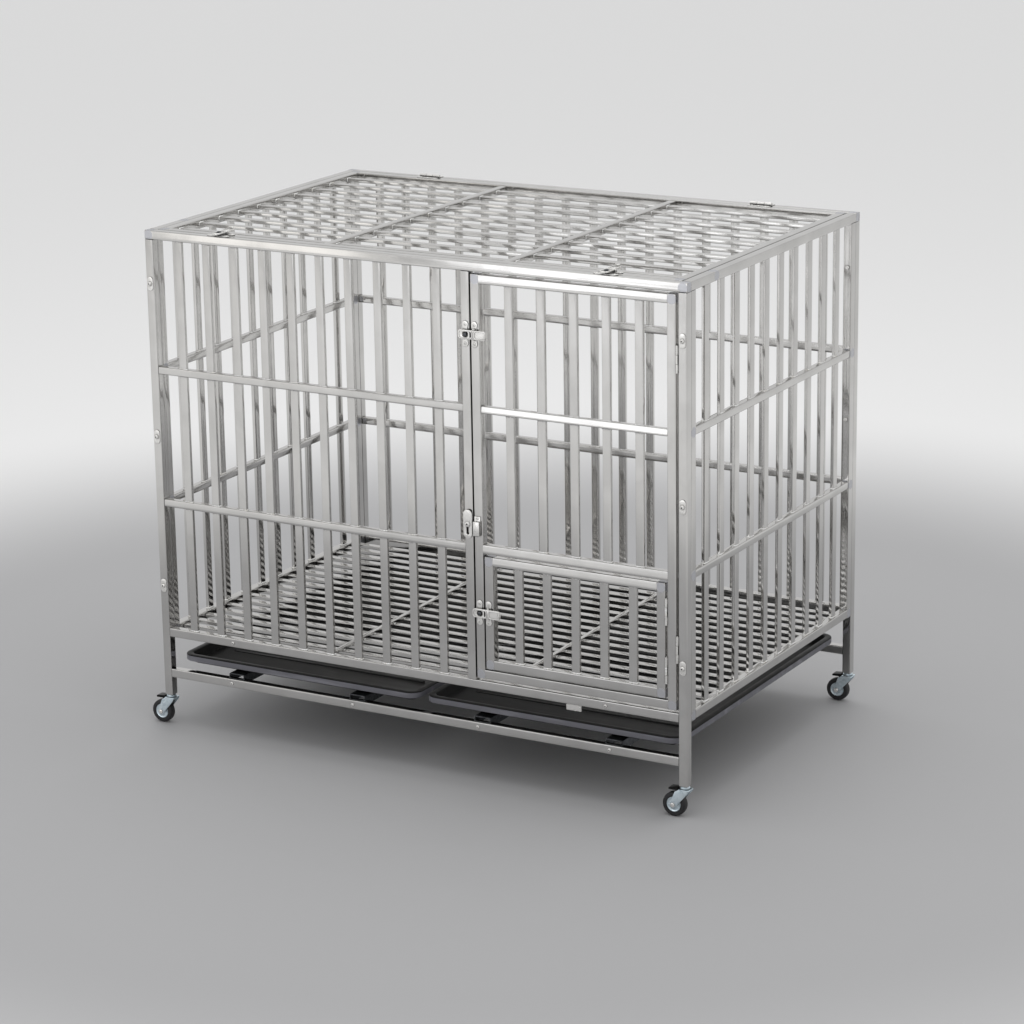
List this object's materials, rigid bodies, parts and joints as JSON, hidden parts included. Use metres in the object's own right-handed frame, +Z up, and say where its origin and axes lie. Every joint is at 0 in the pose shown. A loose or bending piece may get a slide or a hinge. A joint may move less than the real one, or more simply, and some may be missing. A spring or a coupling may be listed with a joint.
{
  "type": "dog crate",
  "caption": "Rolling dog crate of polished square steel tube with barred panels, a large door with a small door inside it, a hinged slatted lid, slatted floor and pull-out trays.",
  "frame": {"origin": "on the floor under the middle of the object's outline", "axes": "+X to the right along the front, +Y from the front to the back, +Z up"},
  "size_m": [1.291, 0.8224, 1.0877],
  "materials": {
    "polished_steel": "mirror polished stainless steel with ground patches at the welds",
    "latch_steel": "satin stainless steel",
    "zinc": "bright zinc plate with a bluish tint",
    "rubber": "black rubber tyre",
    "black_plastic": "glossy black moulded plastic"
  },
  "bodies": {
    "root": {"front_left_post": "polished_steel", "front_right_post": "polished_steel", "back_left_post": "polished_steel", "back_right_post": "polished_steel", "front_top_rail": "polished_steel", "front_bottom_rail": "polished_steel", "centre_post": "polished_steel", "front_grille": "polished_steel", "front_tray_rail": "polished_steel", "back_top_rail": "polished_steel", "back_bottom_rail": "polished_steel", "back_grille": "polished_steel", "back_tray_rail": "polished_steel", "left_side_panel": "polished_steel", "right_side_panel": "polished_steel", "tray_runner_1": "zinc", "tray_runner_2": "zinc", "tray_runner_3": "zinc", "tray_runner_4": "zinc", "floor_grid": "polished_steel", "main_latch_keeper": "latch_steel", "lid_latch_left_keeper": "latch_steel", "lid_latch_right_keeper": "latch_steel", "main_door_lower_hinge_pin": "latch_steel", "main_door_upper_hinge_pin": "latch_steel", "front_left_caster_stem": "zinc", "front_right_caster_stem": "zinc", "back_left_caster_stem": "zinc", "back_right_caster_stem": "zinc"},
    "main_door": {"main_door_frame": "polished_steel", "main_door_grille": "polished_steel", "main_latch_base": "latch_steel", "turn_button_catch": "latch_steel", "small_latch_keeper": "latch_steel", "small_door_lower_hinge_pin": "latch_steel", "small_door_upper_hinge_pin": "latch_steel"},
    "main_latch_rocker": {"main_latch_rocker": "latch_steel"},
    "small_door": {"small_door": "polished_steel", "small_latch_base": "latch_steel"},
    "small_latch_rocker": {"small_latch_rocker": "latch_steel"},
    "turn_button": {"turn_button": "latch_steel"},
    "roof_lid": {"roof_lid": "polished_steel", "lid_latch_left_base": "latch_steel", "lid_latch_right_base": "latch_steel"},
    "lid_latch_left_rocker": {"lid_latch_left_rocker": "latch_steel"},
    "lid_latch_right_rocker": {"lid_latch_right_rocker": "latch_steel"},
    "tray_left": {"tray_left": "black_plastic"},
    "tray_right": {"tray_right": "black_plastic"},
    "front_left_caster_fork": {"front_left_caster_fork": "zinc"},
    "front_left_caster_wheel": {"front_left_caster_wheel": "rubber"},
    "front_left_caster_brake": {"front_left_caster_brake": "black_plastic"},
    "front_right_caster_fork": {"front_right_caster_fork": "zinc"},
    "front_right_caster_wheel": {"front_right_caster_wheel": "rubber"},
    "front_right_caster_brake": {"front_right_caster_brake": "black_plastic"},
    "back_left_caster_fork": {"back_left_caster_fork": "zinc"},
    "back_left_caster_wheel": {"back_left_caster_wheel": "rubber"},
    "back_left_caster_brake": {"back_left_caster_brake": "black_plastic"},
    "back_right_caster_fork": {"back_right_caster_fork": "zinc"},
    "back_right_caster_wheel": {"back_right_caster_wheel": "rubber"},
    "back_right_caster_brake": {"back_right_caster_brake": "black_plastic"}
  },
  "joints": [
    {"name": "main_door_hinge", "type": "hinge", "parent": "root", "child": "main_door", "pos_m": [0.6205, -0.40055, 0.637], "axis": [0, 0, 1], "range_deg": [0, 110]},
    {"name": "small_door_hinge", "type": "hinge", "parent": "main_door", "child": "small_door", "pos_m": [0.5965, -0.40055, 0.36125], "axis": [0, 0, 1], "range_deg": [0, 105]},
    {"name": "main_latch_press", "type": "hinge", "parent": "main_door", "child": "main_latch_rocker", "pos_m": [0.177, -0.40455, 0.932], "axis": [0, 0, 1], "range_deg": [0, 18], "stiffness_Nm_per_rad": 0.08, "springref_deg": -5.73},
    {"name": "small_latch_press", "type": "hinge", "parent": "small_door", "child": "small_latch_rocker", "pos_m": [0.19875, -0.40455, 0.36125], "axis": [0, 0, 1], "range_deg": [0, 18], "stiffness_Nm_per_rad": 0.08, "springref_deg": -5.73},
    {"name": "turn_button_turn", "type": "hinge", "parent": "root", "child": "turn_button", "pos_m": [0.1555, -0.39955, 0.544], "axis": [0, 1, 0], "range_deg": [0, 90]},
    {"name": "roof_lid_hinge", "type": "hinge", "parent": "root", "child": "roof_lid", "pos_m": [0.017, 0.38545, 1.0798], "axis": [-1, 0, 0], "range_deg": [0, 100]},
    {"name": "lid_latch_left_press", "type": "hinge", "parent": "roof_lid", "child": "lid_latch_left_rocker", "pos_m": [-0.43, -0.36905, 1.081], "axis": [-1, 0, 0], "range_deg": [0, 18], "stiffness_Nm_per_rad": 0.08, "springref_deg": -5.73},
    {"name": "lid_latch_right_press", "type": "hinge", "parent": "roof_lid", "child": "lid_latch_right_rocker", "pos_m": [0.464, -0.36905, 1.081], "axis": [-1, 0, 0], "range_deg": [0, 18], "stiffness_Nm_per_rad": 0.08, "springref_deg": -5.73},
    {"name": "tray_left_slide", "type": "slide", "parent": "root", "child": "tray_left", "axis": [0, -1, 0], "range_m": [0, 0.7]},
    {"name": "tray_right_slide", "type": "slide", "parent": "root", "child": "tray_right", "axis": [0, -1, 0], "range_m": [0, 0.7]},
    {"name": "front_left_caster_swivel", "type": "hinge", "parent": "root", "child": "front_left_caster_fork", "pos_m": [-0.5985, -0.39005, 0.058], "axis": [0, 0, 1], "continuous": true},
    {"name": "front_left_wheel_spin", "type": "hinge", "parent": "front_left_caster_fork", "child": "front_left_caster_wheel", "pos_m": [-0.6205, -0.39005, 0.025], "axis": [0, 1, 0], "continuous": true},
    {"name": "front_left_brake_press", "type": "hinge", "parent": "front_left_caster_fork", "child": "front_left_caster_brake", "pos_m": [-0.6125, -0.39005, 0.053], "axis": [0, -1, 0], "range_deg": [0, 22]},
    {"name": "front_right_caster_swivel", "type": "hinge", "parent": "root", "child": "front_right_caster_fork", "pos_m": [0.6325, -0.39005, 0.058], "axis": [0, 0, 1], "continuous": true},
    {"name": "front_right_wheel_spin", "type": "hinge", "parent": "front_right_caster_fork", "child": "front_right_caster_wheel", "pos_m": [0.6105, -0.39005, 0.025], "axis": [0, 1, 0], "continuous": true},
    {"name": "front_right_brake_press", "type": "hinge", "parent": "front_right_caster_fork", "child": "front_right_caster_brake", "pos_m": [0.6185, -0.39005, 0.053], "axis": [0, -1, 0], "range_deg": [0, 22]},
    {"name": "back_left_caster_swivel", "type": "hinge", "parent": "root", "child": "back_left_caster_fork", "pos_m": [-0.5985, 0.39595, 0.058], "axis": [0, 0, 1], "continuous": true},
    {"name": "back_left_wheel_spin", "type": "hinge", "parent": "back_left_caster_fork", "child": "back_left_caster_wheel", "pos_m": [-0.6205, 0.39595, 0.025], "axis": [0, 1, 0], "continuous": true},
    {"name": "back_left_brake_press", "type": "hinge", "parent": "back_left_caster_fork", "child": "back_left_caster_brake", "pos_m": [-0.6125, 0.39595, 0.053], "axis": [0, -1, 0], "range_deg": [0, 22]},
    {"name": "back_right_caster_swivel", "type": "hinge", "parent": "root", "child": "back_right_caster_fork", "pos_m": [0.6325, 0.39595, 0.058], "axis": [0, 0, 1], "continuous": true},
    {"name": "back_right_wheel_spin", "type": "hinge", "parent": "back_right_caster_fork", "child": "back_right_caster_wheel", "pos_m": [0.6105, 0.39595, 0.025], "axis": [0, 1, 0], "continuous": true},
    {"name": "back_right_brake_press", "type": "hinge", "parent": "back_right_caster_fork", "child": "back_right_caster_brake", "pos_m": [0.6185, 0.39595, 0.053], "axis": [0, -1, 0], "range_deg": [0, 22]}
  ]
}
